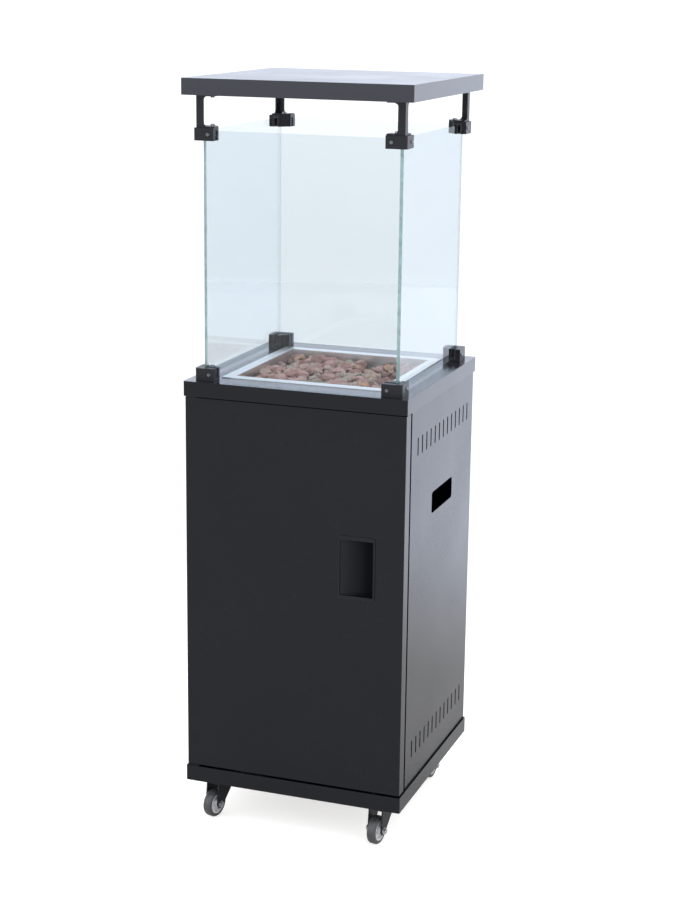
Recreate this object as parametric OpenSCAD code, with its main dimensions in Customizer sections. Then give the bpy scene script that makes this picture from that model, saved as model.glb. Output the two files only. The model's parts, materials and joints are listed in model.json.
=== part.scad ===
// Outdoor gas heater: a square cabinet on casters with an open rock burner in its deck, four glass panes
// round the flame and a square lid on four short posts.
// Millimetres, Z up. The floor is Z = 0, the middle of the body is X = Y = 0 and the door faces -Y.

/* [Body] */
// Width and depth of the base tray, the deck and the lid
body_w = 400; // [396:1:420]
// Height of the deck's top above the floor
deck_z = 801; // [780:1:860]
// Height of the deck's turned-down edge
deck_h = 26; // [22:1:34]
// Height of the base tray's walls
base_h = 28; // [24:1:34]
// Height from the floor to the underside of the base tray
caster_h = 74; // [74:1:80]
// Thickness of the folded steel sheets
sheet = 1.5; // [1.2:0.1:2]
// Outer radius of the folds that show
fold_r = 2; // [1.5:0.25:2.5]

/* [Panels] */
// Distance of the side panels' outer faces inside the body's sides
panel_inset = 3; // [3:0.5:5]
// Vent slots in each row
slot_count = 13; // [5:1:14]
// Distance between the middles of neighbouring slots
slot_pitch = 24.2; // [14:0.1:24.5]
// Width of a vent slot
slot_w = 5.5; // [4:0.5:8]
// Height of a vent slot
slot_h = 32; // [20:1:40]
// Width of the hand-hole
hand_w = 120; // [80:1:150]
// Height of the hand-hole
hand_h = 38; // [30:1:50]

/* [Door] */
// Thickness of the door
door_t = 24; // [22:1:26]
// Gap between the door and the front of the cabinet
door_gap = 10; // [6:0.5:11]
// Width of the handle's flange
handle_w = 66; // [60:1:90]
// Height of the handle's flange
handle_h = 112; // [90:1:140]
// Height of the handle's middle above the floor
handle_z = 504; // [300:1:650]

/* [Glass guard] */
// Height of the glass panes
glass_h = 414; // [300:1:500]
// Thickness of the glass panes
glass_t = 5; // [4:0.5:5]
// Length of the clamps' legs
clamp_leg = 36; // [36:1:44]
// Height of the clamps
clamp_h = 21; // [21:1:28]

/* [Lid] */
// Height of the posts between the upper clamps and the lid
post_h = 53.5; // [40:0.5:90]
// Width of the posts' legs
post_leg = 13; // [10:0.5:16]
// Height of the lid
lid_h = 27.5; // [20:0.5:40]

/* [Burner] */
// Outer width of the burner tray's rim
tray_rim_w = 300; // [296:1:304]
// Inner width of the burner tray
tray_w = 262; // [258:1:264]
// Depth of the burner tray below the deck's top
tray_depth = 53; // [53:1:60]
// Radius of the ring burner's centre line
ring_r = 95; // [90:1:96]
// Radius of the ring burner's tube
ring_tube_r = 9; // [8:0.5:9]

/* [Casters] */
// Radius of the wheels
wheel_r = 25; // [22:0.5:25]
// Width of the wheels' treads
wheel_w = 16; // [14:1:18]
// Distance of the wheel's axle behind the swivel's pin
trail = 20; // [15:1:22]
// Distance of the casters' pins from the middle of the body
caster_place = 153; // [140:1:153]

/* [Hidden] */
$fn = 48;
eps = 0.01;
gap = 0.1;

black = [0.16, 0.165, 0.18];
black_satin = [0.24, 0.25, 0.27];
steel = [0.74, 0.75, 0.76];
chrome = [0.85, 0.86, 0.87];
brass = [0.78, 0.62, 0.33];
copper = [0.72, 0.44, 0.31];
glass = [0.85, 0.93, 0.95, 0.35];
rubber = [0.10, 0.10, 0.11];
tread_grey = [0.45, 0.45, 0.46];
hub_grey = [0.80, 0.80, 0.80];
rock = [0.55, 0.36, 0.31];
ceramic = [0.93, 0.92, 0.88];

// Levels, from the floor up
base_z = caster_h;
floor_z = base_z + sheet;
base_top = base_z + base_h;
deck_under = deck_z - deck_h;
panel_top = deck_z - sheet;
pane_seat = 5;
glass_z = deck_z + pane_seat;
glass_top = glass_z + glass_h;
post_z = glass_top + pane_seat;
lid_z = post_z + post_h;
lid_top = lid_z + lid_h;

// Planes of the cabinet
body_half = body_w / 2;
panel_x = body_half - panel_inset;
door_front = -body_half + 2.5;
door_back = door_front + door_t;
jamb_y = door_back + door_gap;
rear_y = body_half - panel_inset;
jamb_w = 22;
rear_flange = 15;
fold = 12;

// Vents and hand-hole, centred on the side panels
panel_mid_y = (jamb_y + rear_y) / 2;
upper_slots_z = deck_z - 93.5;
lower_slots_z = base_z + 91;
hand_z = base_z + 513.5;

// Door
door_low = base_top + 3;
door_high = deck_under - 2;
door_half = body_half - 2;
hinge_x = -door_half + 10;
hinge_y = door_front + 10;
pin_r = 3;
bracket_t = 2;
lower_bracket_z = door_low - 0.5 - bracket_t;
upper_bracket_z = door_high + 0.3;
sleeve_h = 20;
handle_x = 115;
handle_depth = 14;
liner_y = door_back - 1.5;
magnet_x = 140;
magnet_z = deck_under - 25;
running = 0.05;

// Corner clamps, measured inwards from their two outer faces
clamp_face = body_half - 15;
pane_in = 11;
side_pane_in = 10.5;
gasket_t = 2;
front_wall = pane_in - gasket_t;
side_wall = side_pane_in - gasket_t;
front_slot_end = pane_in + glass_t + gasket_t;
side_slot_end = side_pane_in + glass_t + gasket_t;
inner_wall = 4.5;
wedge = 10;
clamp_corner_r = 5;
clamp_screw_in = 26;
clamp_screw_r = 2;
bolt_in = 24.5;
bolt_r = 2.5;
bolt_length = 16;
pane_end = 14;

// Posts
post_in = 4;
post_t = 2.5;
post_foot = 32;
post_fillet = 6;

// Burner
tray_floor = deck_z - tray_depth + sheet;
ring_z = tray_floor + 20.5;
ring_wall = 1.5;
cross_r = 8;
stub_r = 8.4;
mixer_r = 10;
mixer_low = 698;
mixer_top = tray_floor + 9;
drain_place = 112;
spacer_place = 122;
valve_front = 112;
spigot_y = 128;
spigot_len = 24;
shield_z = tray_floor - sheet - 16;
bracket_x = -108;
bracket_y = 70;
bracket_z = ring_z + ring_tube_r + 2;
probe_pitch = 11.5;

// Controls at the back
control_z = 690;
bezel_x = 28;
bezel_w = 150;
bezel_h = 72;
bezel_depth = 34;
bezel_y = rear_y - sheet - gap;
pocket_y = bezel_y - bezel_depth;
bezel_lip = 8;
stem_r = 4;
stem_start = 135.5;
stem_end = 182;
knob_r = 19;
button_x = 68;
button_r = 9;

// Casters
axle_r = 3;
fork_in = 11.5;
fork_t = 2.5;
crown_r = 20;
crown_z = 62;
crown_t = 3;
race_z = 68;
pin_head_r = 7.5;
king_r = 4;
plate_w = 60;
plate_t = 2.5;
plate_bolt = 22.5;
front_left_yaw = -14;
front_right_yaw = -8;
rear_left_yaw = 9;
rear_right_yaw = -4;

// ---- Shared shapes ----

// A box between two opposite corners
module span(low, high) {
  translate(low) cube(high - low);
}

// A flat plate with rounded corners, centred on X and Y
module slab(w, d, h, r) {
  translate([-w / 2 + r, -d / 2, 0]) cube([w - 2 * r, d, h]);
  translate([-w / 2, -d / 2 + r, 0]) cube([w, d - 2 * r, h]);
  for (x = [-w / 2 + r, w / 2 - r], y = [-d / 2 + r, d / 2 - r])
    translate([x, y, 0]) cylinder(h = h, r = r);
}

// A cylinder along +X or +Y from a point
module rod_x(from, h, r) {
  translate(from) rotate([0, 90, 0]) cylinder(h = h, r = r);
}

module rod_y(from, h, r) {
  translate(from) rotate([-90, 0, 0]) cylinder(h = h, r = r);
}

// What it holds is drawn once for the corner at +X +Y and repeated at all four
module four_corners() {
  for (flip_x = [0, 1], flip_y = [0, 1])
    mirror([flip_x, 0, 0]) mirror([0, flip_y, 0]) children();
}

// A clamp's own frame: +X and +Y run inwards from the clamp's two outer faces
module clamp_frames(z) {
  four_corners() translate([clamp_face, clamp_face, z]) rotate([0, 0, 180]) children();
}

// A screw along -Z with a low round head, its head's underside at Z = 0
module screw(r, length, head_r, head_h) {
  translate([0, 0, -length]) cylinder(h = length + eps, r = r, $fn = 24);
  cylinder(h = head_h, r1 = head_r, r2 = head_r * 0.75, $fn = 24);
}

// A hexagon nut or head standing on Z = 0, with a hole of radius hole_r
module hex(across_r, h, hole_r) {
  difference() {
    cylinder(h = h, r = across_r, $fn = 6);
    translate([0, 0, -1]) cylinder(h = h + 2, r = hole_r, $fn = 24);
  }
}

// ---- Cabinet ----

module base_tray() {
  color(black) difference() {
    translate([0, 0, base_z]) slab(body_w, body_w, base_h, fold_r);
    inside_of_body(floor_z, base_top + 1);
    four_corners() translate([caster_place, caster_place, 0]) plate_holes(axle_r + running);
  }
}

// The room inside the folded edges of the base tray, the deck and the lid
module inside_of_body(low, high) {
  half = body_half - sheet;
  span([-half, -half, low], [half, half, high]);
}

// Four upright holes through the tray's floor and a caster's plate
module plate_holes(r) {
  for (x = [-plate_bolt, plate_bolt], y = [-plate_bolt, plate_bolt])
    translate([x, y, base_z - plate_t - 1]) cylinder(h = plate_t + sheet + 2, r = r, $fn = 24);
}

// One upright vent slot with round ends, cut along X
module vent_slot(y, z) {
  r = slot_w / 2;
  span([panel_x - 3 * sheet, y - r, z - slot_h / 2 + r], [panel_x + 1, y + r, z + slot_h / 2 - r]);
  for (end = [-1, 1])
    rod_x([panel_x - 3 * sheet, y, z + end * (slot_h / 2 - r)], 3 * sheet + 1, r);
}

// The side panel at +X: its face, four folded flanges, vents and hand-hole
module side_panel() {
  difference() {
    union() {
      span([panel_x - sheet, jamb_y, floor_z], [panel_x, rear_y, panel_top]);
      span([panel_x - jamb_w, jamb_y, floor_z], [panel_x, jamb_y + sheet, panel_top]);
      span([panel_x - rear_flange, rear_y - sheet, floor_z], [panel_x, rear_y, panel_top]);
      span([panel_x - fold, jamb_y + sheet - eps, floor_z], [panel_x, rear_y - 5, floor_z + sheet]);
      span([panel_x - fold, jamb_y + 5, panel_top - sheet], [panel_x, rear_y - 5, panel_top]);
    }
    for (i = [0 : slot_count - 1], z = [lower_slots_z, upper_slots_z])
      vent_slot(panel_mid_y + (i - (slot_count - 1) / 2) * slot_pitch, z);
    translate([panel_x - 3 * sheet, panel_mid_y, hand_z]) rotate([0, 90, 0])
      slab(hand_h, hand_w, 3 * sheet + 1, 6);
    rear_screw_holes();
  }
}

module left_panel() {
  color(black) mirror([1, 0, 0]) side_panel();
}

module right_panel() {
  color(black) side_panel();
}

// Places of the screws that hold the rear panel to the side panels' flanges
module rear_screw_places() {
  edge_x = panel_x - rear_flange / 2 - 1;
  low = base_top + 28;
  rows = 4;
  step = (deck_under - 10 - low) / (rows - 1);
  for (x = [-edge_x, edge_x], i = [0 : rows - 1])
    translate([x, rear_y, low + i * step]) rotate([-90, 0, 0]) children();
}

module rear_screw_holes() {
  rear_screw_places() translate([0, 0, -3 * sheet]) cylinder(h = 4 * sheet, r = 2 + running, $fn = 24);
}

module rear_panel() {
  inside = panel_x - sheet - gap;
  outer = rear_y - sheet - gap;
  color(black) difference() {
    union() {
      span([-inside, outer - sheet, floor_z], [inside, outer, panel_top]);
      span([-inside + fold + 1, outer - fold, floor_z], [inside - fold - 1, outer, floor_z + sheet]);
    }
    span([bezel_x - bezel_w / 2 - 1, outer - 2 * sheet, control_z - bezel_h / 2 - 1],
         [bezel_x + bezel_w / 2 + 1, outer + 1, control_z + bezel_h / 2 + 1]);
    rear_screw_holes();
  }
}

module panel_screws() {
  color(black_satin) rear_screw_places() screw(2, 7, 4, 2);
}

// Cross rail behind the front flanges, above the door's opening
module top_rail() {
  front = jamb_y + sheet + gap;
  head_room = 5;
  low = deck_under - 37;
  half = panel_x - sheet - gap;
  color(black) {
    span([-half, front, low], [half, front + sheet, panel_top - head_room]);
    span([-half, front, low], [half, front + fold, low + sheet]);
  }
}

module deck() {
  opening = tray_w / 2 + 3;
  color(black) difference() {
    translate([0, 0, deck_under]) slab(body_w, body_w, deck_h, fold_r);
    inside_of_body(deck_under - 1, panel_top);
    span([-opening, -opening, panel_top - 1], [opening, opening, deck_z + 1]);
    clamp_frames(panel_top - 1) translate([bolt_in, bolt_in, 0])
      cylinder(h = sheet + 2, r = bolt_r + running, $fn = 24);
  }
}

// ---- Door ----

module door_skin() {
  hole_w = handle_w - 3;
  hole_h = handle_h - 6;
  side = door_half - sheet;
  color(black) difference() {
    union() {
      span([-door_half, door_front + fold_r, door_low], [door_half, door_back, door_high]);
      span([-door_half + fold_r, door_front, door_low], [door_half - fold_r, door_back, door_high]);
      for (x = [-door_half + fold_r, door_half - fold_r])
        translate([x, door_front + fold_r, door_low]) cylinder(h = door_high - door_low, r = fold_r);
    }
    span([-side, door_front + sheet, door_low + sheet], [side, door_back + 1, door_high - sheet]);
    span([handle_x - hole_w / 2, door_front - 1, handle_z - hole_h / 2],
         [handle_x + hole_w / 2, door_front + 2 * sheet, handle_z + hole_h / 2]);
    translate([hinge_x, hinge_y, door_low - 1]) cylinder(h = door_high - door_low + 2, r = pin_r + 1);
  }
}

// The inner sheet, and the two sleeves that turn on the hinge pins
module door_liner() {
  side = door_half - sheet - gap;
  low = door_low + sheet + gap;
  high = door_high - sheet - gap;
  color(black) difference() {
    union() {
      span([-side, liner_y - sheet, low], [side, liner_y, high]);
      for (z = [low, high - sleeve_h]) {
        translate([hinge_x, hinge_y, z]) cylinder(h = sleeve_h, r = pin_r + 3);
        span([hinge_x, hinge_y, z], [hinge_x + pin_r + 3, liner_y, z + sleeve_h]);
      }
    }
    translate([hinge_x, hinge_y, low - 1]) cylinder(h = high - low + 2, r = pin_r + running);
  }
}

// A recessed cup with one sloping side, under a flat flange
module door_handle() {
  side_lip = 3.5;
  end_lip = 7;
  deep = door_front + handle_depth;
  half = handle_w / 2 - side_lip;
  slope_end = half - 10;
  cup_h = handle_h - 2 * end_lip;
  outer = [[-half - sheet, door_front], [-half - sheet, door_front + 2 * sheet], [slope_end - 1, deep + sheet],
           [half + sheet, deep + sheet], [half + sheet, door_front]];
  inner = [[-half, door_front - 2 * sheet], [-half, door_front + 1], [slope_end, deep],
           [half, deep], [half, door_front - 2 * sheet]];
  translate([handle_x, 0, handle_z]) color(black_satin) difference() {
    union() {
      translate([0, door_front, 0]) rotate([90, 0, 0]) slab(handle_w, handle_h, sheet, 5);
      translate([0, 0, -cup_h / 2 - sheet]) linear_extrude(cup_h + 2 * sheet) polygon(outer);
    }
    translate([0, 0, -cup_h / 2]) linear_extrude(cup_h) polygon(inner);
  }
}

module door_strike() {
  color(steel) span([magnet_x - 22, liner_y, magnet_z - 9], [magnet_x + 22, door_back, magnet_z + 9]);
}

module door_magnet() {
  color(black_satin)
    span([magnet_x - 20, door_back + 0.4, magnet_z - 7], [magnet_x + 20, jamb_y + sheet + gap, magnet_z + 7]);
}

// The lower bracket stands in the tray and the upper one hangs in the deck; each carries a pin
module hinge_brackets() {
  edge = -body_half + sheet + gap;
  left = hinge_x - 8;
  right = hinge_x + 12;
  color(black) {
    for (z = [lower_bracket_z, upper_bracket_z]) difference() {
      span([left, edge, z], [right, hinge_y + 8, z + bracket_t]);
      translate([hinge_x, hinge_y, z - 1]) cylinder(h = bracket_t + 2, r = pin_r + 0.02);
    }
    span([left, edge, floor_z + 4], [right, edge + bracket_t, lower_bracket_z + bracket_t]);
    span([left, edge, upper_bracket_z], [right, edge + bracket_t, panel_top - 4]);
  }
}

module hinge_pins() {
  reach = 16;
  color(steel) {
    translate([hinge_x, hinge_y, lower_bracket_z]) cylinder(h = door_low + reach - lower_bracket_z, r = pin_r);
    translate([hinge_x, hinge_y, door_high - reach])
      cylinder(h = upper_bracket_z + bracket_t - door_high + reach, r = pin_r);
  }
}

// ---- Burner ----

module burner_tray() {
  rim = tray_rim_w / 2;
  inside = tray_w / 2;
  color(steel) difference() {
    union() {
      span([-rim, -rim, deck_z], [rim, rim, deck_z + sheet]);
      span([-inside - sheet, -inside - sheet, tray_floor - sheet],
           [inside + sheet, inside + sheet, deck_z + sheet]);
    }
    span([-inside, -inside, tray_floor], [inside, inside, deck_z + sheet + 1]);
    translate([0, 0, tray_floor - sheet - 1]) cylinder(h = sheet + 2, r = mixer_r + 0.5);
    four_corners() translate([drain_place, drain_place, tray_floor - sheet - 1])
      cylinder(h = sheet + 2, r = 3, $fn = 24);
  }
}

// A flat plate hung below the tray on four spacers
module heat_shield() {
  half = 148;
  color(steel) difference() {
    union() {
      span([-half, -half, shield_z], [half, half, shield_z + 1.2]);
      four_corners() translate([spacer_place, spacer_place, shield_z])
        cylinder(h = tray_floor - sheet - shield_z, r = 4, $fn = 24);
    }
    translate([0, 0, shield_z - 1]) cylinder(h = 4, r = mixer_r + 3);
  }
}

// A hollow ring with a cross tube, an inlet stub, gas ports and three feet
module ring_burner() {
  ports = 30;
  feet = 3;
  color(steel) difference() {
    union() {
      translate([0, 0, ring_z]) rotate_extrude() translate([ring_r, 0]) circle(ring_tube_r);
      rod_x([-ring_r, 0, ring_z], 2 * ring_r, cross_r);
      translate([0, 0, tray_floor + 4]) cylinder(h = ring_z - tray_floor - 4, r = stub_r);
      for (i = [0 : feet - 1]) rotate([0, 0, 90 + i * 360 / feet]) translate([ring_r, 0, tray_floor])
        cylinder(h = ring_z - ring_tube_r - tray_floor + 1, r = 3, $fn = 24);
    }
    translate([0, 0, ring_z]) rotate_extrude() translate([ring_r, 0]) circle(ring_tube_r - ring_wall);
    rod_x([-ring_r, 0, ring_z], 2 * ring_r, cross_r - ring_wall);
    translate([0, 0, tray_floor]) cylinder(h = ring_z - tray_floor, r = stub_r - ring_wall);
    for (i = [0 : ports - 1]) rotate([0, 0, (i + 0.5) * 360 / ports]) translate([ring_r, 0, ring_z])
      cylinder(h = ring_tube_r + 1, r = 1.2, $fn = 16);
  }
}

// Air is drawn in at the four windows above the injector
module mixer_tube() {
  wall = 1.4;
  color(steel) difference() {
    translate([0, 0, mixer_low]) cylinder(h = mixer_top - mixer_low, r = mixer_r);
    translate([0, 0, mixer_low + 2]) cylinder(h = mixer_top - mixer_low, r = mixer_r - wall);
    translate([0, 0, mixer_low - 1]) cylinder(h = 4, r = 4.2);
    for (turn = [45, 135]) rotate([0, 0, turn]) rod_x([-mixer_r - 1, 0, mixer_low + 11], 2 * mixer_r + 2, 3.5);
  }
}

// The elbow block and its jet
module injector() {
  color(brass) difference() {
    union() {
      span([-8, -8, mixer_low - 16], [8, 8, mixer_low]);
      translate([0, 0, mixer_low - eps]) cylinder(h = 7, r = 4);
    }
    translate([0, 0, mixer_low - 8]) cylinder(h = 20, r = 1);
    rod_y([0, -eps, mixer_low - 8], 9, 3);
  }
}

module gas_pipe() {
  color(copper) difference() {
    rod_y([0, 8, control_z], valve_front - 8, 4);
    rod_y([0, 7, control_z], valve_front - 6, 3);
  }
}

// Valve body with its outlet, its bonnet and the hose spigot below
module gas_valve() {
  back = pocket_y - sheet;
  valve_half = 18;
  bonnet_h = 14;
  chamber_y = 134;
  spigot_top = control_z - 28;
  color(brass) difference() {
    union() {
      span([-valve_half, valve_front, control_z - valve_half],
           [valve_half, back - bonnet_h, control_z + valve_half]);
      rod_y([0, back - bonnet_h - eps, control_z], bonnet_h + eps, 12);
      translate([0, spigot_y, spigot_top]) cylinder(h = 11, r = 9, $fn = 6);
      translate([0, spigot_y, spigot_top - spigot_len]) cylinder(h = spigot_len + 1, r = 4);
    }
    rod_y([0, valve_front - 1, control_z], 12, 3);
    rod_y([0, chamber_y, control_z], back - chamber_y - 6, 8.3);
    rod_y([0, chamber_y - 4, control_z], back - chamber_y + 6, stem_r + running);
    translate([0, spigot_y, spigot_top - spigot_len - 1]) cylinder(h = spigot_len + 12, r = 2.4);
  }
}

// The ring that is pushed in with the knob; the stem turns inside it
module valve_plunger() {
  color(steel) difference() {
    rod_y([0, 142, control_z], 8, 8);
    rod_y([0, 141, control_z], 10, stem_r + running);
  }
}

module valve_stem() {
  color(steel) {
    rod_y([0, stem_start, control_z], stem_end - stem_start, stem_r);
    rod_y([0, 139.5, control_z], 2.2, 6);
  }
}

module control_knob() {
  low = pocket_y + 4.5;
  top = low + 24;
  grip = 16;
  color(black_satin) difference() {
    union() {
      rod_y([0, low, control_z], 9, knob_r);
      rod_y([0, low, control_z], 12, knob_r - 2);
      span([-6, low + 6, control_z - grip], [6, top, control_z + grip]);
    }
    rod_y([0, low - 1, control_z], stem_end - low + 1.1, stem_r + 0.02);
    span([-0.8, top - 1, control_z + grip / 2], [0.8, top + 1, control_z + grip + 1]);
  }
}

// A pressed pocket in the rear panel, with holes for the stem and the igniter
module control_bezel() {
  wide = bezel_w / 2;
  tall = bezel_h / 2;
  color(black_satin) difference() {
    union() {
      span([bezel_x - wide - bezel_lip, bezel_y, control_z - tall - bezel_lip],
           [bezel_x + wide + bezel_lip, bezel_y + sheet, control_z + tall + bezel_lip]);
      span([bezel_x - wide, pocket_y - sheet, control_z - tall],
           [bezel_x + wide, bezel_y + sheet, control_z + tall]);
    }
    span([bezel_x - wide + sheet, pocket_y, control_z - tall + sheet],
         [bezel_x + wide - sheet, bezel_y + sheet + 1, control_z + tall - sheet]);
    rod_y([0, pocket_y - sheet - 1, control_z], sheet + 2, stem_r + 1);
    rod_y([button_x, pocket_y - sheet - 1, control_z], sheet + 2, 7.6);
  }
}

module igniter_body() {
  color(black_satin) difference() {
    union() {
      rod_y([button_x, pocket_y - 42, control_z], 43.5, 7.5);
      rod_y([button_x, pocket_y - 42, control_z], 40.4, 10);
      rod_y([button_x, pocket_y, control_z], 1.5, 11);
    }
    rod_y([button_x, pocket_y - 30, control_z], 40, stem_r + running);
  }
}

module igniter_button() {
  color(rubber) {
    rod_y([button_x, pocket_y - 24, control_z], 31, stem_r);
    rod_y([button_x, pocket_y + 6, control_z], 8, button_r);
    rod_y([button_x, pocket_y + 14 - eps, control_z], 1.2, button_r - 1.2);
  }
}

// A pierced bar on one leg; the flame probes end below its holes
module pilot_bracket() {
  half = 20;
  color(steel) difference() {
    union() {
      span([bracket_x - half, bracket_y - 8, bracket_z], [bracket_x + half, bracket_y + 8, bracket_z + sheet]);
      span([bracket_x - half, bracket_y + 8 - sheet, tray_floor],
           [bracket_x + half - 4, bracket_y + 8, bracket_z + sheet]);
    }
    for (i = [-1 : 1]) translate([bracket_x + i * probe_pitch, bracket_y - 1, bracket_z - 1])
      cylinder(h = sheet + 2, r = 2.8, $fn = 24);
  }
}

module flame_probes() {
  color(ceramic) for (i = [-1 : 1]) translate([bracket_x + i * probe_pitch, bracket_y - 1, tray_floor])
    cylinder(h = bracket_z - tray_floor - 2 - i, r = 2.2, $fn = 24);
}

// One angular rock of random proportions, in a cell round its middle
module rock_piece(seed, size, height) {
  r = rands(0.84, 1, 3, seed);
  turn = rands(0, 180, 1, seed + 500)[0];
  lean = rands(-9, 9, 1, seed + 900)[0];
  rotate([lean, 0, turn]) scale([size * r[0], size * r[1], height * r[2]]) sphere(r = 1, $fn = 8);
}

// Two layers of rocks: the lower one clear of the ring, the upper one over it, open above part of the ring
module lava_rocks() {
  pitch = 36;
  low_z = tray_floor + 14;
  top_z = ring_z + ring_tube_r + 11;
  low_places = [for (x = [-3 : 3], y = [-3 : 3]) let (r = norm([x, y]) * pitch)
    if ((r > 122 || r < 60) && abs(y) > 0 && !(x == -3 && y == 2)) [x, y]];
  open_places = [[-3, 2], [1, 3], [2, 2], [3, 1]];
  top_places = [for (x = [-3 : 3], y = [-3 : 3])
    if (len([for (p = open_places) if (p == [x, y]) 1]) == 0) [x, y]];
  color(rock) {
    for (i = [0 : len(low_places) - 1])
      translate([low_places[i][0] * pitch, low_places[i][1] * pitch, low_z]) rock_piece(i, 16.5, 12);
    for (i = [0 : len(top_places) - 1])
      translate([top_places[i][0] * pitch, top_places[i][1] * pitch, top_z]) rock_piece(i + 100, 17, 9.5);
  }
}

// ---- Glass guard and lid ----

module glass_front() {
  color(glass) span([-clamp_face + pane_end, -clamp_face + pane_in, glass_z],
                    [clamp_face - pane_end, -clamp_face + pane_in + glass_t, glass_top]);
}

module glass_rear() {
  color(glass) mirror([0, 1, 0]) glass_front();
}

module glass_right() {
  reach = clamp_face - front_slot_end - 0.4;
  outside = clamp_face - side_pane_in;
  color(glass) span([outside - glass_t, -reach, glass_z], [outside, reach, glass_top]);
}

module glass_left() {
  color(glass) mirror([1, 0, 0]) glass_right();
}

// U channels round the ends of the panes, drawn for a lower clamp that starts at Z = 0
module corner_gaskets() {
  low = pane_seat - gasket_t;
  difference() {
    span([pane_end, front_wall, low], [clamp_leg, front_slot_end, clamp_h]);
    span([pane_end - 1, pane_in, pane_seat], [clamp_leg + 1, pane_in + glass_t, clamp_h + 1]);
  }
  difference() {
    span([side_wall, front_slot_end + 0.4, low], [side_slot_end, clamp_leg, clamp_h]);
    span([side_pane_in, front_slot_end, pane_seat], [side_pane_in + glass_t, clamp_leg + 1, clamp_h + 1]);
  }
}

// An L-shaped clamp with a slot for each pane and a slanted inner face, its slots open upwards
module clamp_body() {
  low = pane_seat - gasket_t;
  front_depth = front_slot_end + inner_wall;
  side_depth = side_slot_end + inner_wall;
  difference() {
    union() {
      span([clamp_corner_r, 0, 0], [clamp_leg, front_depth, clamp_h]);
      span([0, clamp_corner_r, 0], [side_depth, clamp_leg, clamp_h]);
      translate([clamp_corner_r, clamp_corner_r, 0]) cylinder(h = clamp_h, r = clamp_corner_r);
      linear_extrude(clamp_h) polygon([[side_depth - 1, front_depth - 1], [side_depth + wedge, front_depth - 1],
        [side_depth + wedge, front_depth], [side_depth, front_depth + wedge],
        [side_depth - 1, front_depth + wedge]]);
    }
    span([pane_end - gap, front_wall, low], [clamp_leg + 1, front_slot_end, clamp_h + 1]);
    span([side_wall, front_slot_end - eps, low], [side_slot_end, clamp_leg + 1, clamp_h + 1]);
    rod_y([clamp_screw_in, -1, clamp_h / 2], front_wall + 2, clamp_screw_r + running);
    rod_x([-1, clamp_screw_in, clamp_h / 2], side_wall + 2, clamp_screw_r + running);
    translate([bolt_in, bolt_in, -1]) cylinder(h = bolt_length + 2, r = bolt_r + running, $fn = 24);
  }
}

// Two screws whose heads stand on the clamp's outer faces
module face_screws() {
  translate([clamp_screw_in, 0, clamp_h / 2]) rotate([90, 0, 0]) screw(clamp_screw_r, front_wall, 3.6, 1.8);
  translate([0, clamp_screw_in, clamp_h / 2]) rotate([0, -90, 0]) screw(clamp_screw_r, side_wall, 3.6, 1.8);
}

// Repeats a lower clamp's piece upside down, for the upper clamps
module upper_frames() {
  clamp_frames(post_z) mirror([0, 0, 1]) children();
}

module glass_gaskets() {
  color(rubber) {
    clamp_frames(deck_z) corner_gaskets();
    upper_frames() corner_gaskets();
  }
}

module lower_clamps() {
  color(black_satin) clamp_frames(deck_z) clamp_body();
}

module upper_clamps() {
  color(black_satin) upper_frames() clamp_body();
}

module clamp_screws() {
  color(chrome) {
    clamp_frames(deck_z) face_screws();
    upper_frames() face_screws();
  }
}

// Upright bolts: deck to lower clamps, posts to upper clamps, posts to lid
module corner_bolts() {
  color(chrome) clamp_frames(0) translate([bolt_in, bolt_in, 0]) {
    translate([0, 0, panel_top]) mirror([0, 0, 1]) screw(bolt_r, bolt_length, 4.2, 3);
    translate([0, 0, post_z + post_t]) screw(bolt_r, bolt_length, 4.2, 3);
    translate([0, 0, lid_z - post_t]) mirror([0, 0, 1]) screw(bolt_r, 8, 4.2, 3);
  }
}

// A plate at a post's end, slanted like the clamp below it
module post_plate(z) {
  far = post_in + post_foot;
  translate([0, 0, z]) difference() {
    linear_extrude(post_t) polygon([[post_in, post_in], [far, post_in], [far, far - 14], [far - 11, far - 3],
      [post_in, far - 3]]);
    translate([bolt_in, bolt_in, -1]) cylinder(h = post_t + 2, r = bolt_r + running, $fn = 24);
  }
}

// The concave flare between a leg's free edge and an end plate
module flare() {
  difference() {
    cube([post_fillet, post_t, post_fillet]);
    rod_y([post_fillet, -1, post_fillet], post_t + 2, post_fillet);
  }
}

// One leg of a post along +X with a flare at each end
module post_leg_plate() {
  cube([post_leg, post_t, post_h]);
  translate([post_leg - eps, 0, post_t - eps]) flare();
  translate([post_leg - eps, 0, post_h - post_t + eps]) mirror([0, 0, 1]) flare();
}

module lid_posts() {
  color(black_satin) clamp_frames(0) {
    post_plate(post_z);
    post_plate(lid_z - post_t);
    translate([post_in, post_in, post_z]) {
      post_leg_plate();
      mirror([1, -1, 0]) post_leg_plate();
    }
  }
}

module lid() {
  color(black) difference() {
    translate([0, 0, lid_z]) slab(body_w, body_w, lid_h, fold_r);
    inside_of_body(lid_z - 1, lid_top - sheet);
  }
}

// The sheet that closes the lid's underside and throws the heat back down
module lid_liner() {
  half = body_half - sheet - gap;
  color(steel) difference() {
    span([-half, -half, lid_z], [half, half, lid_z + sheet]);
    clamp_frames(lid_z - 1) translate([bolt_in, bolt_in, 0])
      cylinder(h = sheet + 2, r = bolt_r + running, $fn = 24);
  }
}

// ---- Casters ----

// Moves a caster's pieces from the pin's axis at X = Y = 0 to one corner, and turns them about it
module caster_at(side_x, side_y, yaw) {
  translate([side_x * caster_place, side_y * caster_place, 0]) rotate([0, 0, yaw]) children();
}

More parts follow.
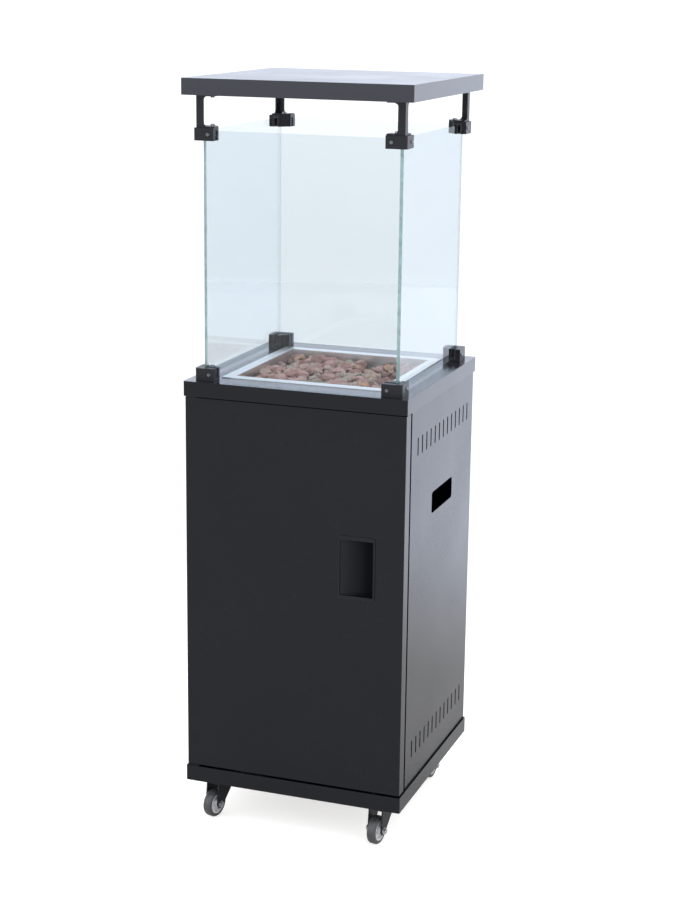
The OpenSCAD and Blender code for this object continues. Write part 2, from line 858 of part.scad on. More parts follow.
// Mounting plate, upper race and king pin
module caster_plates() {
  under = base_z - plate_t;
  color(black_satin) four_corners() translate([caster_place, caster_place, 0]) difference() {
    union() {
      translate([0, 0, under]) slab(plate_w, plate_w, plate_t, 5);
      translate([0, 0, race_z]) cylinder(h = under - race_z + eps, r = 18);
      translate([0, 0, crown_z - 1]) cylinder(h = race_z - crown_z + 1 + eps, r = king_r);
      translate([0, 0, crown_z - 4.5]) cylinder(h = 4.2, r1 = pin_head_r - 2, r2 = pin_head_r);
    }
    plate_holes(axle_r + running);
  }
}

module caster_bolts() {
  color(chrome) four_corners() translate([caster_place, caster_place, 0])
    for (x = [-plate_bolt, plate_bolt], y = [-plate_bolt, plate_bolt]) translate([x, y, 0]) {
      translate([0, 0, base_z - plate_t]) mirror([0, 0, 1]) screw(axle_r, 11, 5, 2.6);
      translate([0, 0, floor_z]) hex(5.5, 4.5, axle_r + running);
    }
}

// The side plate of a fork, drawn in Y and Z and given its thickness along X
module fork_side() {
  rotate([90, 0, 90]) linear_extrude(fork_t) hull() {
    translate([-24, crown_z]) square([40, crown_t]);
    translate([-22, crown_z - 14]) square([34, 1]);
    translate([-trail, wheel_r]) circle(8);
  }
}

module fork() {
  color(black_satin) difference() {
    union() {
      translate([0, 0, crown_z]) cylinder(h = crown_t, r = crown_r);
      translate([0, 0, crown_z]) cylinder(h = race_z - crown_z - 0.3, r = 18.5);
      span([-fork_in - fork_t, -24, crown_z], [fork_in + fork_t, 14, crown_z + crown_t]);
      for (x = [-fork_in - fork_t, fork_in]) translate([x, 0, 0]) fork_side();
    }
    translate([0, 0, crown_z - 1]) cylinder(h = race_z - crown_z + 2, r = king_r + running);
    rod_x([-crown_r, -trail, wheel_r], 2 * crown_r, axle_r + 0.02);
  }
}

module axle() {
  reach = fork_in + fork_t;
  color(chrome) {
    rod_x([-reach - 4, -trail, wheel_r], 2 * reach + 4, axle_r);
    rod_x([reach, -trail, wheel_r], 1.2, 6.2);
    translate([reach + 1.2, -trail, wheel_r]) rotate([0, 90, 0]) cylinder(h = 3.4, r = 5.2, $fn = 6);
    translate([-reach - 4.2, -trail, wheel_r]) rotate([0, 90, 0]) hex(5.5, 4.2, axle_r + running);
  }
}

// Tread section: a flat band with rounded shoulders
module tyre() {
  shoulder = 4;
  inner = wheel_r - 6.5;
  half = wheel_w / 2;
  color(tread_grey) translate([0, -trail, wheel_r]) rotate([0, 90, 0]) rotate_extrude() {
    translate([inner, -half]) square([wheel_r - shoulder - inner, wheel_w]);
    translate([inner, -half + shoulder]) square([wheel_r - inner, wheel_w - 2 * shoulder]);
    for (side = [-1, 1]) translate([wheel_r - shoulder, side * (half - shoulder)]) circle(shoulder, $fn = 32);
  }
}

// Hub: an outer rim, a thin web and a boss that turns on the axle
module hub() {
  rim_r = wheel_r - 6.5 - running;
  half = wheel_w / 2 - 0.5;
  color(hub_grey) translate([0, -trail, wheel_r]) rotate([0, 90, 0]) rotate_extrude() {
    translate([rim_r - 2.5, -half]) square([2.5, 2 * half]);
    translate([6, -2.5]) square([rim_r - 6.5, 5]);
    translate([axle_r + running + gap / 10, -fork_in + 0.4]) square([4, 2 * fork_in - 0.8]);
  }
}

// ---- What is drawn ----

base_tray();
left_panel();
right_panel();
rear_panel();
top_rail();
deck();
panel_screws();
door_skin();
door_liner();
door_handle();
door_strike();
door_magnet();
hinge_brackets();
hinge_pins();
burner_tray();
heat_shield();
ring_burner();
mixer_tube();
injector();
gas_pipe();
gas_valve();
valve_plunger();
valve_stem();
control_knob();
control_bezel();
igniter_body();
igniter_button();
pilot_bracket();
flame_probes();
lava_rocks();
glass_front();
glass_rear();
glass_left();
glass_right();
glass_gaskets();
lower_clamps();
upper_clamps();
clamp_screws();
corner_bolts();
lid_posts();
lid();
lid_liner();
caster_plates();
caster_bolts();
caster_at(-1, -1, front_left_yaw) fork();  // fork_fl
caster_at(-1, -1, front_left_yaw) axle();  // axle_fl
caster_at(-1, -1, front_left_yaw) tyre();  // tyre_fl
caster_at(-1, -1, front_left_yaw) hub();  // hub_fl
caster_at(1, -1, front_right_yaw) fork();  // fork_fr
caster_at(1, -1, front_right_yaw) axle();  // axle_fr
caster_at(1, -1, front_right_yaw) tyre();  // tyre_fr
caster_at(1, -1, front_right_yaw) hub();  // hub_fr
caster_at(-1, 1, rear_left_yaw) fork();  // fork_rl
caster_at(-1, 1, rear_left_yaw) axle();  // axle_rl
caster_at(-1, 1, rear_left_yaw) tyre();  // tyre_rl
caster_at(-1, 1, rear_left_yaw) hub();  // hub_rl
caster_at(1, 1, rear_right_yaw) fork();  // fork_rr
caster_at(1, 1, rear_right_yaw) axle();  // axle_rr
caster_at(1, 1, rear_right_yaw) tyre();  // tyre_rr
caster_at(1, 1, rear_right_yaw) hub();  // hub_rr
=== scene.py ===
"""Outdoor gas heater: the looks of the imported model, its lava rocks, the floor, the light and the camera.

Metres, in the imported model's frame: the floor is Z = 0, the door faces -Y, and +X is to the right of
someone who faces the door.
"""

import json
import math
import random

import bmesh
import bpy
from mathutils import Matrix, Quaternion, Vector, noise


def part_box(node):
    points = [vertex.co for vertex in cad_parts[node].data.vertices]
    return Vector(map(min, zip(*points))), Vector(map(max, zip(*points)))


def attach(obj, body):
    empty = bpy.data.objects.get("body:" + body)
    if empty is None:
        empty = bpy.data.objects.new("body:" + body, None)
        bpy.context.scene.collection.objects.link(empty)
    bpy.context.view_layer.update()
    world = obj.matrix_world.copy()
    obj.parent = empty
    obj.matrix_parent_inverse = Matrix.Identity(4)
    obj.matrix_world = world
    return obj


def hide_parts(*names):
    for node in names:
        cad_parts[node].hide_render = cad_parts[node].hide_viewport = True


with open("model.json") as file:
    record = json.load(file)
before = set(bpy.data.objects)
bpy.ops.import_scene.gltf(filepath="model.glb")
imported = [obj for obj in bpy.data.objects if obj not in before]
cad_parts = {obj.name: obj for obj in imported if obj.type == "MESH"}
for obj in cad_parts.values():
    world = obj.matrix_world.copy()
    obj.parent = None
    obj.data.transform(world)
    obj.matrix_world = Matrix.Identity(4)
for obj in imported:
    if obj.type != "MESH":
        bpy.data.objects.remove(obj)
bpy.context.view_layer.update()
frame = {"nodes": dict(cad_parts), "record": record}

NODES = frame["nodes"]
MM = 0.001


# ---- Materials ----

PAINT_BLACK = (0.0042, 0.0046, 0.0066)


def add_node(tree, kind, inputs=None, **settings):
    """Adds a node to tree; inputs maps its sockets to values or to other nodes' outputs."""
    made = tree.nodes.new(kind)
    for name, value in settings.items():
        setattr(made, name, value)
    for socket, value in (inputs or {}).items():
        if isinstance(value, bpy.types.NodeSocket):
            tree.links.new(value, made.inputs[socket])
        else:
            made.inputs[socket].default_value = value
    return made


class Surface:
    """One material: a Principled shader and the procedural nodes that feed it, in frame coordinates."""

    def __init__(self, name, colour, roughness, metallic=0.0, **sockets):
        self.material = bpy.data.materials.new(name)
        self.material.use_nodes = True
        self.tree = self.material.node_tree
        self.shader = self.tree.nodes["Principled BSDF"]
        self.output = self.tree.nodes["Material Output"]
        self.shader.inputs["Base Color"].default_value = (*colour, 1)
        self.shader.inputs["Roughness"].default_value = roughness
        self.shader.inputs["Metallic"].default_value = metallic
        for socket, value in sockets.items():
            self.shader.inputs[socket.replace("_", " ")].default_value = value
        self.place = self.node("ShaderNodeTexCoord").outputs["Object"]

    def node(self, kind, inputs=None, **settings):
        return add_node(self.tree, kind, inputs, **settings)

    def feed(self, socket, value):
        self.tree.links.new(value, self.shader.inputs[socket])

    def stretched(self, scale):
        """The place, scaled by a different factor along each axis."""
        return self.node("ShaderNodeMapping", {"Vector": self.place, "Scale": scale}).outputs["Vector"]

    def noise(self, scale, detail=2.0, roughness=0.5, place=None):
        inputs = {"Vector": place or self.place, "Scale": scale, "Detail": detail, "Roughness": roughness}
        return self.node("ShaderNodeTexNoise", inputs).outputs[0]

    def cells(self, scale, place=None):
        inputs = {"Vector": place or self.place, "Scale": scale}
        return self.node("ShaderNodeTexVoronoi", inputs).outputs["Distance"]

    def spread(self, value, low, high, out_low, out_high):
        """value from low to high, brought to out_low to out_high."""
        inputs = {"Value": value, "From Min": low, "From Max": high, "To Min": out_low, "To Max": out_high}
        return self.node("ShaderNodeMapRange", inputs).outputs["Result"]

    def math(self, operation, a, b):
        return self.node("ShaderNodeMath", {0: a, 1: b}, operation=operation).outputs[0]

    def mix(self, factor, a, b):
        """Colour a where factor is 0 and colour b where it is 1."""
        first, second = [c if isinstance(c, bpy.types.NodeSocket) else (*c, 1) for c in (a, b)]
        inputs = {0: factor, 6: first, 7: second}
        return self.node("ShaderNodeMix", inputs, data_type="RGBA").outputs[2]

    def axis(self, vector, name):
        """One of a vector's X, Y and Z."""
        return self.node("ShaderNodeSeparateXYZ", {0: vector}).outputs[name]

    def facing(self):
        """The direction that the surface faces, in the frame."""
        return self.node("ShaderNodeTexCoord").outputs["Normal"]

    def ramp(self, factor, stops):
        """Colours along factor; stops are (position, colour) pairs."""
        made = self.node("ShaderNodeValToRGB", {"Fac": factor})
        elements = made.color_ramp.elements
        while len(elements) < len(stops):
            elements.new(0.5)
        for element, (position, colour) in zip(elements, stops):
            element.position = position
            element.color = (*colour, 1)
        return made.outputs["Color"]

    def bump(self, height, distance, strength=1.0):
        inputs = {"Height": height, "Distance": distance, "Strength": strength}
        self.feed("Normal", self.node("ShaderNodeBump", inputs).outputs["Normal"])


def powder_coat(name, colour, roughness, grain, shine=0.2, painted_top_highlight=None):
    """Baked powder paint: fine orange peel, cloudy gloss, a trace of dust and, if given, a painted highlight
    on its top.
    """
    s = Surface(name, colour, roughness, Specular_IOR_Level=shine)
    clouds = s.noise(5, 4, 0.6)
    fine = s.noise(grain, 2, 0.6)
    dust = s.spread(s.noise(38, 5, 0.7), 0.58, 0.82, 0, 0.22)
    dark = s.mix(clouds, [c * 0.85 for c in colour], [c * 1.25 for c in colour])
    s.feed("Base Color", s.mix(dust, dark, [c * 1.6 + 0.006 for c in colour]))
    gloss = s.spread(clouds, 0.3, 0.7, roughness - 0.03, roughness + 0.04)
    s.feed("Roughness", s.math("ADD", gloss, s.spread(dust, 0, 0.35, 0, 0.06)))
    s.bump(fine, 0.12 * MM, 0.35)
    if painted_top_highlight:
        # Painted highlight: faces that look up reflect more strongly than the sides
        s.feed("Specular IOR Level", s.spread(s.axis(s.facing(), "Z"), 0.4, 0.9, shine, painted_top_highlight))
    return s.material


def brushed_steel(name, colour, roughness, along, heat=0.0):
    """Stainless sheet with a grain along one axis, faint cloudiness and, near a flame, straw tints."""
    s = Surface(name, colour, roughness, 1.0)
    scale = [2600, 2600, 2600]
    scale["xyz".index(along)] = 30
    grain = s.noise(1, 3, 0.7, s.stretched(scale))
    clouds = s.noise(14, 4, 0.6)
    plain = s.mix(clouds, [c * 0.86 for c in colour], colour)
    stain = s.spread(s.noise(22, 5, 0.65), 0.45, 0.7, 0, heat)
    s.feed("Base Color", s.mix(stain, plain, (0.46, 0.36, 0.24)))
    s.feed("Roughness", s.spread(grain, 0.25, 0.75, roughness - 0.07, roughness + 0.12))
    s.bump(grain, 0.05 * MM, 0.5)
    return s.material


def bright_zinc(name="bright_zinc", level=1.0):
    """Plated screws, nuts and axles; a lower level gives a darker passivated plating."""
    s = Surface(name, (0.75, 0.76, 0.77), 0.2, 1.0)
    clouds = s.noise(260, 3, 0.6)
    s.feed("Base Color", s.ramp(clouds, [(0.3, [level * c for c in (0.34, 0.35, 0.36)]),
                                         (0.7, [level * c for c in (0.56, 0.56, 0.55)])]))
    s.feed("Roughness", s.spread(clouds, 0.3, 0.7, 0.26, 0.44))
    s.bump(s.noise(1800, 2), 0.03 * MM, 0.4)
    return s.material


def cast_brass():
    s = Surface("cast_brass", (0.72, 0.52, 0.25), 0.33, 1.0)
    clouds = s.noise(120, 4, 0.65)
    s.feed("Base Color", s.ramp(clouds, [(0.3, (0.46, 0.32, 0.14)), (0.65, (0.76, 0.56, 0.28))]))
    s.feed("Roughness", s.spread(clouds, 0.3, 0.7, 0.28, 0.46))
    s.bump(s.noise(900, 3), 0.08 * MM, 0.5)
    return s.material


def drawn_copper():
    s = Surface("drawn_copper", (0.68, 0.36, 0.24), 0.3, 1.0)
    marks = s.noise(1, 4, 0.6, s.stretched((900, 40, 900)))
    s.feed("Base Color", s.ramp(marks, [(0.3, (0.42, 0.22, 0.15)), (0.7, (0.74, 0.42, 0.29))]))
    s.feed("Roughness", s.spread(marks, 0.3, 0.7, 0.24, 0.42))
    s.bump(marks, 0.03 * MM, 0.5)
    return s.material


def moulded_plastic(name, colour, roughness, grain=1400):
    """Injection-moulded plastic with a fine leathery spark-eroded grain."""
    s = Surface(name, colour, roughness)
    clouds = s.noise(60, 3, 0.6)
    s.feed("Base Color", s.mix(clouds, [c * 0.8 for c in colour], [min(1, c * 1.15) for c in colour]))
    s.feed("Roughness", s.spread(clouds, 0.3, 0.7, roughness - 0.05, roughness + 0.08))
    s.bump(s.noise(grain, 3, 0.6), 0.08 * MM, 0.3)
    return s.material


def recess_plastic():
    """The door handle: black like the door's paint, with painted shade in its cup: reflections weaken the
    deeper the cup goes.
    """
    low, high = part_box("door_handle")
    s = Surface("handle_plastic", PAINT_BLACK, 0.32)
    depth = s.axis(s.place, "Y")
    # Painted shade: the cup's reflections are dimmed towards its deep side
    s.feed("Specular IOR Level", s.spread(depth, low.y + 2 * MM, high.y - 3 * MM, 0.22, 0.01))
    s.feed("Roughness", s.spread(s.noise(60, 3, 0.6), 0.3, 0.7, 0.28, 0.38))
    s.bump(s.noise(1600, 3, 0.6), 0.08 * MM, 0.3)
    return s.material


def tread_rubber():
    """Grey rubber, unevenly scuffed: paler and duller in patches."""
    s = Surface("tread_rubber", (0.055, 0.055, 0.057), 0.6)
    scuffs = s.noise(300, 5, 0.7)
    s.feed("Base Color", s.ramp(scuffs, [(0.35, (0.026, 0.026, 0.028)), (0.7, (0.062, 0.061, 0.060))]))
    s.feed("Roughness", s.spread(scuffs, 0.3, 0.7, 0.30, 0.48))
    s.bump(s.noise(1500, 3), 0.1 * MM, 0.5)
    return s.material


def glazed_ceramic():
    s = Surface("glazed_ceramic", (0.80, 0.77, 0.70), 0.25)
    specks = s.noise(500, 4, 0.7)
    s.feed("Base Color", s.ramp(specks, [(0.35, (0.52, 0.47, 0.40)), (0.6, (0.82, 0.79, 0.72))]))
    s.bump(specks, 0.05 * MM, 0.3)
    return s.material


def soft_rubber():
    s = Surface("soft_rubber", (0.022, 0.022, 0.024), 0.65)
    marks = s.noise(240, 4, 0.7)
    s.feed("Base Color", s.mix(marks, (0.016, 0.016, 0.018), (0.034, 0.034, 0.036)))
    s.feed("Roughness", s.spread(marks, 0.3, 0.7, 0.55, 0.78))
    s.bump(s.noise(1200, 2), 0.08 * MM, 0.4)
    return s.material


def pane_glass(name, axis):
    """Tempered glass: clear and faintly blue through its faces, which look along axis; green edges."""
    s = Surface(name, (0.24, 0.42, 0.40), 0.12, IOR=1.5)
    seen_inside = s.node("ShaderNodeNewGeometry").outputs["Backfacing"]
    is_face = s.math("GREATER_THAN", s.math("ABSOLUTE", s.axis(s.facing(), axis), 0.0), 0.7)
    smears = s.noise(9, 5, 0.65)
    tint = s.mix(smears, (0.901, 0.926, 0.940), (0.910, 0.932, 0.944))
    clear = s.node("ShaderNodeBsdfTransparent", {"Color": tint}).outputs[0]
    shine = s.node("ShaderNodeBsdfGlossy", {"Color": (0.52, 0.53, 0.52, 1), "Roughness": 0.02}).outputs[0]
    # Seen from inside the pane the same mirror strength needs the inverse of the index
    index = s.spread(seen_inside, 0, 1, 1.5, 1 / 1.5)
    mirror = s.node("ShaderNodeFresnel", {"IOR": index}).outputs[0]
    face = s.node("ShaderNodeMixShader", {0: mirror, 1: clear, 2: shine}).outputs[0]
    streaks = s.noise(70, 4, 0.6)
    s.feed("Base Color", s.ramp(streaks, [(0.3, (0.10, 0.20, 0.185)), (0.7, (0.22, 0.36, 0.34))]))
    is_level = s.math("GREATER_THAN", s.math("ABSOLUTE", s.axis(s.facing(), "Z"), 0.0), 0.7)
    # Level edges, and any edge seen from inside the pane, let more light through
    is_pale = s.math("MAXIMUM", is_level, seen_inside)
    see_through = s.spread(is_pale, 0, 1, 0.25, 0.8)
    edge = s.node("ShaderNodeMixShader", {0: see_through, 1: s.shader.outputs[0], 2: clear}).outputs[0]
    both = s.node("ShaderNodeMixShader", {0: is_face, 1: edge, 2: face}).outputs[0]
    s.tree.links.new(both, s.output.inputs["Surface"])
    return s.material


def lava_rock():
    """Porous rock: each stone has its own tone, mottled, with painted shade in its pores."""
    s = Surface("lava_rock", (0.3, 0.18, 0.15), 0.9)
    tone = s.node("ShaderNodeAttribute", attribute_name="tone").outputs["Fac"]
    base = s.ramp(tone, [(0.0, (0.20, 0.095, 0.085)), (0.3, (0.38, 0.185, 0.170)),
                         (0.5, (0.54, 0.330, 0.310)), (0.72, (0.46, 0.350, 0.300)),
                         (0.92, (0.33, 0.300, 0.255)), (1.0, (0.60, 0.330, 0.210))])
    mottle = s.spread(s.noise(130, 5, 0.7), 0.35, 0.65, 0, 0.75)
    mottled = s.mix(mottle, base, s.mix(0.5, base, (0.46, 0.34, 0.30)))
    pores = s.spread(s.cells(520), 0.12, 0.42, 0, 1)
    # Painted shade: the base colour is darkened in the pores
    s.feed("Base Color", s.mix(pores, s.mix(0.7, mottled, (0.05, 0.03, 0.028)), mottled))
    grit = s.math("ADD", s.noise(900, 5, 0.75), s.math("MULTIPLY", pores, 0.6))
    s.bump(grit, 0.9 * MM, 0.8)
    return s.material


PAINT = powder_coat("cabinet_paint", PAINT_BLACK, 0.25, 1100)
DECK_PAINT = powder_coat("deck_paint", PAINT_BLACK, 0.20, 1100, painted_top_highlight=1.0)
# The lid: the cabinet's black paint made to reflect more strongly, a painted highlight
LID_PAINT = powder_coat("lid_paint", PAINT_BLACK, 0.22, 1100, shine=0.6)
SATIN = powder_coat("satin_paint", (0.0100, 0.0105, 0.0125), 0.34, 1600)
SLOT_LOOKS = {
    "cabinet_black": PAINT,
    "frame_black": SATIN,
    "stainless": brushed_steel("brushed_stainless", (0.62, 0.61, 0.59), 0.30, "x"),
    "chrome": bright_zinc(),
    "brass": cast_brass(),
    "copper": drawn_copper(),
    "knob_black": moulded_plastic("knob_plastic", (0.014, 0.014, 0.016), 0.42),
    "button": moulded_plastic("button_plastic", (0.22, 0.012, 0.012), 0.28),
    "ceramic": glazed_ceramic(),
    "lava_rock": lava_rock(),
    "glass": pane_glass("glass_facing_y", "Y"),
    "gasket": soft_rubber(),
    "tread": tread_rubber(),
    "hub": moulded_plastic("hub_plastic", (0.52, 0.52, 0.53), 0.36),
}
SIDE_GLASS = pane_glass("glass_facing_x", "X")
FLAMED_STEEL = brushed_steel("flamed_stainless", (0.60, 0.58, 0.55), 0.34, "x", heat=0.35)
NODE_LOOKS = {
    "glass_left": SIDE_GLASS,
    "glass_right": SIDE_GLASS,
    "ring_burner": FLAMED_STEEL,
    "pilot_bracket": FLAMED_STEEL,
    "door_handle": recess_plastic(),
    "lid": LID_PAINT,
    "deck": DECK_PAINT,
    "burner_tray": brushed_steel("rim_stainless", (0.81, 0.79, 0.76), 0.30, "x"),
    "clamp_screws": bright_zinc("dark_zinc", 0.3),
    "corner_bolts": bright_zinc("dark_zinc_bolts", 0.5),
}
for part in frame["record"]["subparts"]:
    look = NODE_LOOKS.get(part["node"], SLOT_LOOKS[part["material_slot"]])
    node = NODES[part["node"]]
    if not node.material_slots:
        node.data.materials.append(look)
    for entry in node.material_slots:
        entry.material = look


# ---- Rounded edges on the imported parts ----


def soften(name, width, sharper_than=35):
    """Joins a part's flat triangles into whole faces and rounds its sharp edges, with modifiers only."""
    part = NODES[name]
    weld = part.modifiers.new("weld", "WELD")
    weld.merge_threshold = 0.002 * MM
    whole = part.modifiers.new("whole_faces", "DECIMATE")
    whole.decimate_type = "DISSOLVE"
    whole.angle_limit = math.radians(0.4)
    bevel = part.modifiers.new("rounded_edges", "BEVEL")
    bevel.width = width
    bevel.segments = 2
    bevel.limit_method = "ANGLE"
    bevel.angle_limit = math.radians(sharper_than)
    part.modifiers.new("even_shading", "WEIGHTED_NORMAL").keep_sharp = True


CUT_EDGE = 0.3 * MM
SHEET_EDGE = 0.5 * MM
MOULDED_EDGE = 0.6 * MM
FOLD_EDGE = 0.7 * MM
CAST_EDGE = 1.0 * MM
EDGES = {
    "base_tray": FOLD_EDGE, "deck": FOLD_EDGE, "door_skin": FOLD_EDGE, "lid": FOLD_EDGE,
    "lower_clamps": CAST_EDGE, "upper_clamps": CAST_EDGE,
    "lid_posts": SHEET_EDGE, "burner_tray": SHEET_EDGE, "control_bezel": SHEET_EDGE,
    "door_handle": MOULDED_EDGE, "control_knob": MOULDED_EDGE, "pilot_bracket": CUT_EDGE,
}
for name, width in EDGES.items():
    soften(name, width)


# ---- Lava rocks ----

CUTS_PER_STONE = 14
# Makes up for what the cuts take off
GROWTH = 1.2
RING_TUBE_R = 9 * MM
# Stones this near to a place in front of a bare spot lie lower and are smaller
IN_FRONT = Vector((12, -30)) * MM
SUNK_WITHIN = 25 * MM
SINK = 9 * MM
SUNK_SIZE = 0.9
# Chips are tried at random and kept where they fall between the upper stones
CHIP_TRIES = 420
CHIP_NEAREST, CHIP_FARTHEST = 14 * MM, 22 * MM
NO_CHIPS_WITHIN = 12 * MM


def islands(part):
    """(middle, half size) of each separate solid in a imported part."""
    mesh = bmesh.new()
    mesh.from_mesh(part.data)
    bmesh.ops.remove_doubles(mesh, verts=mesh.verts, dist=0.002 * MM)
    waiting = set(mesh.verts)
    found = []
    while waiting:
        group = [waiting.pop()]
        for vert in group:
            for edge in vert.link_edges:
                other = edge.other_vert(vert)
                if other in waiting:
                    waiting.remove(other)
                    group.append(other)
        low = Vector([min(v.co[k] for v in group) for k in range(3)])
        high = Vector([max(v.co[k] for v in group) for k in range(3)])
        found.append(((low + high) / 2, (high - low) / 2))
    mesh.free()
    return sorted(found, key=lambda f: (round(f[0].z, 4), round(f[0].x, 4), round(f[0].y, 4)))


def stone(mesh, tone_layer, dice, middle, half, fineness):
    """Adds one broken, pitted stone round middle to mesh."""
    made = bmesh.ops.create_icosphere(mesh, subdivisions=fineness, radius=1.0)["verts"]
    offset = Vector([dice.uniform(-50, 50) for _ in range(3)])
    cuts = []
    for _ in range(CUTS_PER_STONE):
        normal = Vector([dice.gauss(0, 1) for _ in range(3)]).normalized()
        cuts.append((normal, dice.uniform(0.5, 0.88)))
    spin = Matrix.Rotation(dice.uniform(0, math.tau), 3, "Z")
    turn = spin @ Matrix.Rotation(dice.uniform(-0.6, 0.6), 3, "X")
    tone = dice.random()
    for vert in made:
        point = vert.co.copy()
        for normal, reach in cuts:
            past = point.dot(normal) - reach
            if past > 0:
                point -= normal * past
        lumps = noise.noise(point * 2.3 + offset) * 0.16 + noise.noise(point * 6 + offset) * 0.11
        pits = max(0.0, noise.noise(point * 12 + offset) - 0.08) * -0.34
        grit = noise.noise(point * 22 + offset) * 0.05
        point *= GROWTH * (1 + lumps + pits + grit)
        point = turn @ point
        vert.co = middle + Vector([point[k] * half[k] for k in range(3)])
        vert[tone_layer] = tone


def bare_spots():
    """Where stones lie thinner over the burner: at its pierced bracket and the right rear of its ring."""
    low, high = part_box("pilot_bracket")
    spots = [((low + high) / 2).xy]
    low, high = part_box("ring_burner")
    reach = (high.x - low.x) / 2 - RING_TUBE_R
    for bearing in (15, 35, 55, 75):
        spots.append(Vector((math.cos(math.radians(bearing)), math.sin(math.radians(bearing)))) * reach)
    return spots


def lava_bed():
    """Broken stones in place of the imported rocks: two for each upper one, with chips in the gaps."""
    dice = random.Random(7)
    spots = bare_spots()
    fine = 4
    mesh = bmesh.new()
    tone_layer = mesh.verts.layers.float.new("tone")
    places = islands(NODES["lava_rocks"])
    split = sum(m.z for m, _ in places) / len(places)
    upper = [(m, h) for m, h in places if m.z > split]
    for middle, half in places:
        if middle.z < split:
            stone(mesh, tone_layer, dice, middle, half * 1.05, 3)
            continue
        bearing = dice.uniform(0, math.tau)
        for side in (-1, 1):
            out = Vector((math.cos(bearing), math.sin(bearing), 0)) * side * dice.uniform(7, 10) * MM
            place = middle + out + Vector((0, 0, dice.uniform(-4, 2) * MM))
            size = dice.uniform(0.62, 0.88)
            if min((place.xy - spot - IN_FRONT).length for spot in spots) < SUNK_WITHIN:
                place.z -= SINK
                size *= SUNK_SIZE
            stone(mesh, tone_layer, dice, place, half * size, fine)
    low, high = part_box("lava_rocks")
    for _ in range(CHIP_TRIES):
        across = (dice.uniform(low.x, high.x), dice.uniform(low.y, high.y))
        chip = Vector((*across, upper[0][0].z - dice.uniform(0, 6) * MM))
        near = min((m - chip).xy.length for m, _ in upper)
        bare = min((chip.xy - spot - IN_FRONT / 2).length for spot in spots)
        if CHIP_NEAREST < near < CHIP_FARTHEST and bare > NO_CHIPS_WITHIN:
            size = dice.uniform(5, 11) * MM
            stone(mesh, tone_layer, dice, chip, Vector((size, size * 0.8, size * 0.8)), 3)
    for face in mesh.faces:
        face.smooth = True
    data = bpy.data.meshes.new("lava_bed")
    mesh.to_mesh(data)
    mesh.free()
    bed = bpy.data.objects.new("lava_bed", data)
    bpy.context.scene.collection.objects.link(bed)
    data.materials.append(SLOT_LOOKS["lava_rock"])
    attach(bed, "cabinet")
    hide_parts("lava_rocks")


lava_bed()


# ---- Studio ----

FLOOR_R = 6
# Light that only reflections see on the floor behind the heater, and where along Y it starts and is full
FLOOR_GLOW = 1.3
GLOW_FROM, GLOW_FULL = 0.7, 1.65
# Light that only the camera sees on the floor, and how far from the middle it is full and gone
FLOOR_LIFT = 0.62
LIFT_FULL, LIFT_GONE = 0.2, 1.5
# Colour of the light around, and of the light around as reflections see it
STUDIO_TINT = (0.97, 0.98, 1.0)
REFLECTED_TINT = (0.86, 0.92, 1.06)
# Its strength in front, low and high, and behind, left and right
FRONT_LOW, FRONT_HIGH = 0.6, 2.0
BACK_LEFT, BACK_RIGHT = 1.6, 2.1
# What the camera sees past the floor, nearly as bright as the floor there, so that its end hardly shows
BACKDROP = 1.24


def studio_floor():
    """Matte and pale; the camera sees it lifted near the heater, and reflections see it lifted behind it."""
    s = Surface("studio_floor", (0.61, 0.61, 0.61), 0.8)
    s.feed("Base Color", s.mix(s.noise(3, 3), (0.612, 0.604, 0.595), (0.627, 0.619, 0.610)))
    behind = s.spread(s.axis(s.place, "Y"), GLOW_FROM, GLOW_FULL, 0, FLOOR_GLOW)
    away = s.node("ShaderNodeVectorMath", {0: s.place}, operation="LENGTH").outputs["Value"]
    lift = s.spread(away, LIFT_FULL, LIFT_GONE, FLOOR_LIFT, 0)
    ray = s.node("ShaderNodeLightPath").outputs
    s.feed("Emission Color", s.mix(ray["Is Glossy Ray"], (1, 0.99, 0.98), (0.70, 0.81, 1.06)))
    mirrored = s.math("MULTIPLY", behind, ray["Is Glossy Ray"])
    seen = s.math("MULTIPLY", lift, ray["Is Camera Ray"])
    s.feed("Emission Strength", s.math("ADD", mirrored, seen))
    return s.material


def floor():
    """A pale round floor that reaches well past the heater; where it ends shows faintly through the glass."""
    mesh = bmesh.new()
    bmesh.ops.create_circle(mesh, cap_ends=True, segments=96, radius=FLOOR_R)
    data = bpy.data.meshes.new("floor")
    mesh.to_mesh(data)
    mesh.free()
    data.materials.append(studio_floor())
    made = bpy.data.objects.new("floor", data)
    bpy.context.scene.collection.objects.link(made)


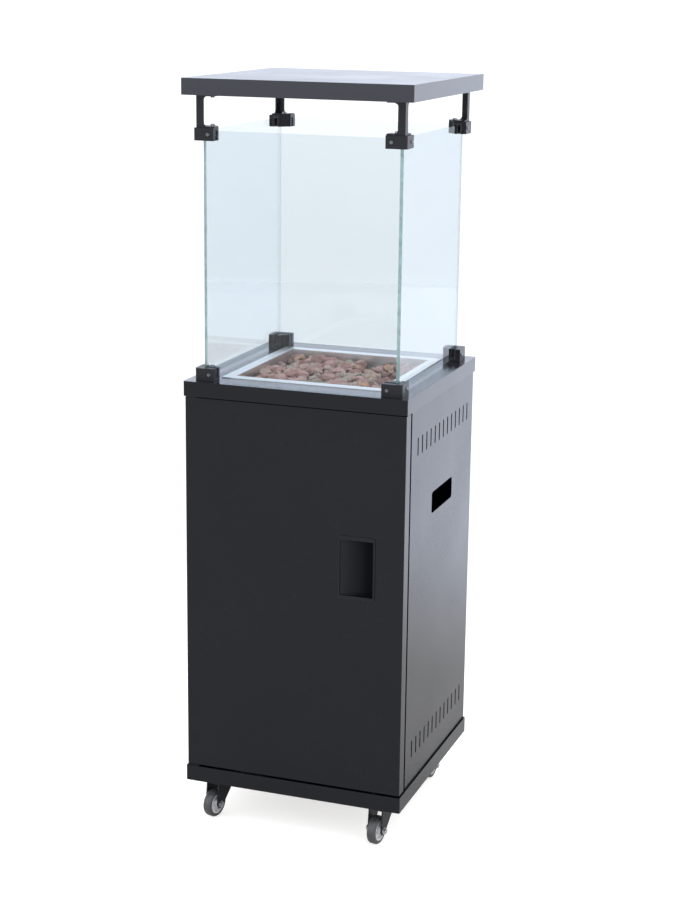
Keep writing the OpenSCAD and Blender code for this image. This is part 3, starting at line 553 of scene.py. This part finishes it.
def surroundings():
    """A white studio: dim low down in front, bright elsewhere, and plain white to look at."""
    world = bpy.data.worlds.new("studio")
    bpy.context.scene.world = world
    world.use_nodes = True
    tree = world.node_tree
    tree.nodes.clear()

    def node(kind, inputs=None, **settings):
        return add_node(tree, kind, inputs, **settings)

    def rise(value, low, high, out_low, out_high):
        inputs = {"Value": value, "From Min": low, "From Max": high, "To Min": out_low, "To Max": out_high}
        return node("ShaderNodeMapRange", inputs, interpolation_type="SMOOTHSTEP").outputs[0]

    way = node("ShaderNodeSeparateXYZ", {0: node("ShaderNodeTexCoord").outputs["Generated"]}).outputs
    front = rise(way["Z"], -0.16, -0.02, FRONT_LOW, FRONT_HIGH)
    back = rise(way["X"], -0.4, 0.4, BACK_LEFT, BACK_RIGHT)
    behind = rise(way["Y"], -0.2, 0.5, 0, 1)
    level = node("ShaderNodeMix", {0: behind, 2: front, 3: back}, data_type="FLOAT").outputs[0]
    ray = node("ShaderNodeLightPath").outputs
    tints = {0: ray["Is Glossy Ray"], 6: (*STUDIO_TINT, 1), 7: (*REFLECTED_TINT, 1)}
    tint = node("ShaderNodeMix", tints, data_type="RGBA").outputs[2]
    light = node("ShaderNodeBackground", {"Color": tint, "Strength": level}).outputs[0]
    white = node("ShaderNodeBackground", {"Color": (1, 1, 1, 1), "Strength": BACKDROP}).outputs[0]
    shown = node("ShaderNodeMixShader", {0: ray["Is Camera Ray"], 1: light, 2: white})
    node("ShaderNodeOutputWorld", {"Surface": shown.outputs[0]})


def camera():
    """Right of the door and a little higher than the lid, looking down and rolled by less than a degree."""
    data = bpy.data.cameras.new("camera")
    data.lens = 76.05
    data.sensor_width = 36
    made = bpy.data.objects.new("camera", data)
    place = Vector((1.119, -3.076, 1.472))
    aim = Vector((0.012, 0, 0.6544))
    roll = Quaternion((0, 0, 1), math.radians(0.68))
    made.location = place
    made.rotation_mode = "QUATERNION"
    made.rotation_quaternion = (aim - place).to_track_quat("-Z", "Y") @ roll
    bpy.context.scene.collection.objects.link(made)
    bpy.context.scene.camera = made


floor()
surroundings()
camera()
bpy.context.scene.view_settings.view_transform = "Standard"
